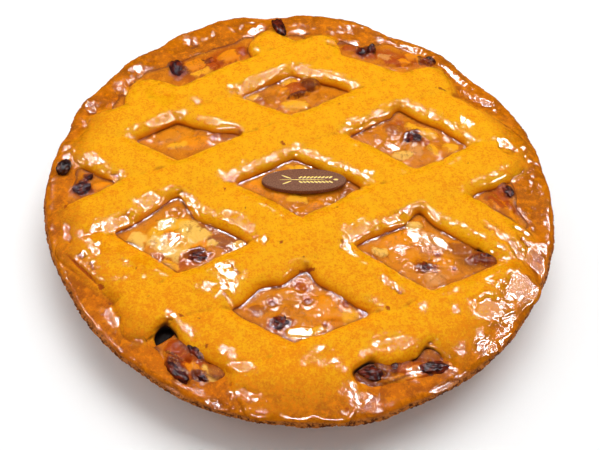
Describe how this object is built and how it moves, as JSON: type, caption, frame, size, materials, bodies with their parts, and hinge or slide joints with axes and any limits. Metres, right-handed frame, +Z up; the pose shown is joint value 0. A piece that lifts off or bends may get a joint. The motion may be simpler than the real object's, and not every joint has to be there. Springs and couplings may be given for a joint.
{
  "type": "apple pie",
  "caption": "Round apple pie with a rolled crust, a wide woven pastry lattice over glazed apple and raisins, and an oval chocolate plaque.",
  "frame": {"origin": "under the middle of the base, on the surface the pie stands on", "axes": "+Z up, +X to the right along the plaque, +Y to the back"},
  "size_m": [0.2762, 0.276, 0.0376],
  "materials": {
    "crust": "baked shortcrust, golden brown, thinly glazed on the lip",
    "lattice": "golden pastry under a clear apricot glaze",
    "filling": "wet apple pieces in amber syrup",
    "raisin": "dark wrinkled raisin, glazed",
    "chocolate": "dark chocolate, satin, with a plain yellow print"
  },
  "bodies": {
    "root": {"crust": "crust", "filling": "filling", "strip_under_1": "lattice", "strip_under_2": "lattice", "strip_under_3": "lattice", "strip_under_4": "lattice", "strip_over_1": "lattice", "strip_over_2": "lattice", "strip_over_3": "lattice", "strip_over_4": "lattice", "raisin_left": "raisin", "raisin_back": "raisin", "plaque": "chocolate"}
  },
  "joints": []
}
